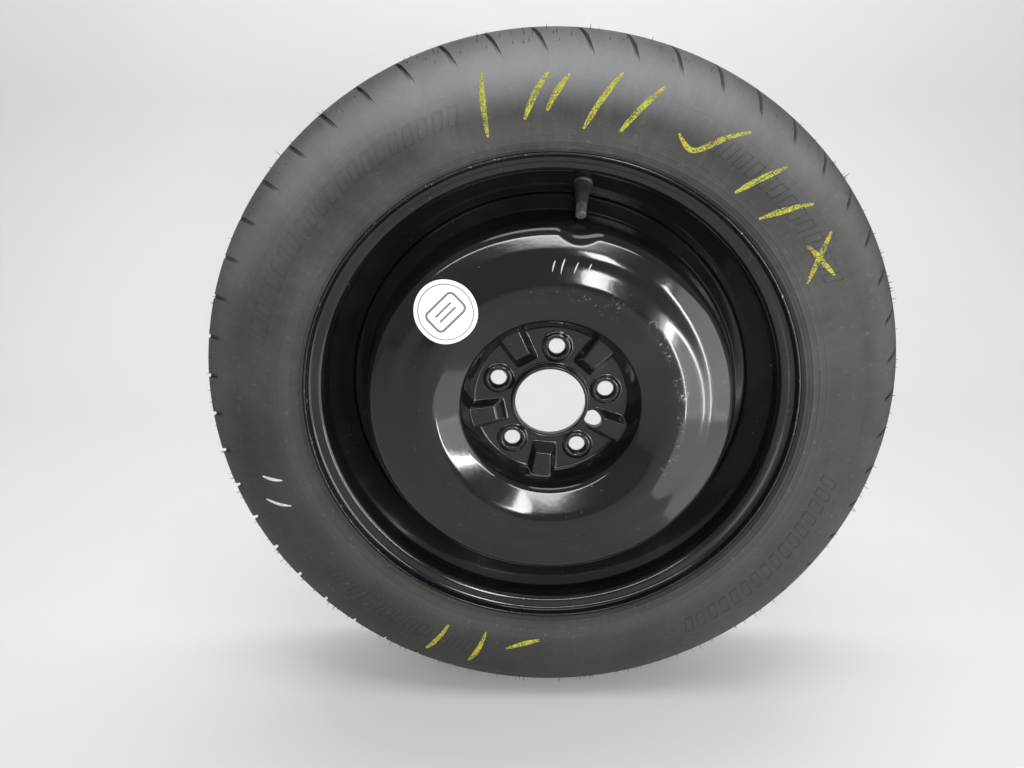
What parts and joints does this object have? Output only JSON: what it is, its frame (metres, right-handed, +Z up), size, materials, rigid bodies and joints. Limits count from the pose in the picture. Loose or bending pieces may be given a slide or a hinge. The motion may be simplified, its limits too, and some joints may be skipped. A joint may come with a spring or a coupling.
{
  "type": "spare wheel",
  "caption": "Temporary-use spare wheel: narrow tyre on a black pressed steel disc wheel with a hub bore, a bolt circle, a snap-in valve and a screw cap.",
  "frame": {"origin": "wheel centre: on the axle, at the middle plane of the rim and tyre", "axes": "+Y along the axle towards the car, the outer side faces -Y, +Z up with the valve near the top"},
  "size_m": [0.704, 0.1541, 0.704],
  "materials": {
    "tyre_rubber": "matte",
    "black_paint": "gloss",
    "sticker_vinyl": "satin",
    "valve_rubber": "satin",
    "brass": "satin",
    "core_plastic": "satin",
    "spring_steel": "satin",
    "seal_rubber": "matte",
    "cap_plastic": "satin"
  },
  "bodies": {
    "wheel": {"tyre": "tyre_rubber", "rim": "black_paint", "wheel_disc": "black_paint", "disc_welds": "black_paint", "sticker": "sticker_vinyl", "valve_rubber": "valve_rubber", "valve_stem": "brass", "core_plug": "brass", "core_barrel": "brass", "core_seal": "core_plastic", "core_spring": "spring_steel"},
    "pin": {"core_pin": "brass", "core_poppet": "brass", "poppet_seal": "seal_rubber"},
    "cap": {"valve_cap": "cap_plastic", "cap_seal": "seal_rubber"}
  },
  "joints": [
    {"name": "cap_off", "type": "slide", "parent": "wheel", "child": "cap", "axis": [-0.0846, -0.7822, -0.6172], "range_m": [0, 0.012]},
    {"name": "core_press", "type": "slide", "parent": "wheel", "child": "pin", "axis": [0.0846, 0.7822, 0.6172], "range_m": [0, 0.0016], "stiffness_N_per_m": 900, "springref_m": -0.003, "deforming": ["core_spring"]}
  ]
}
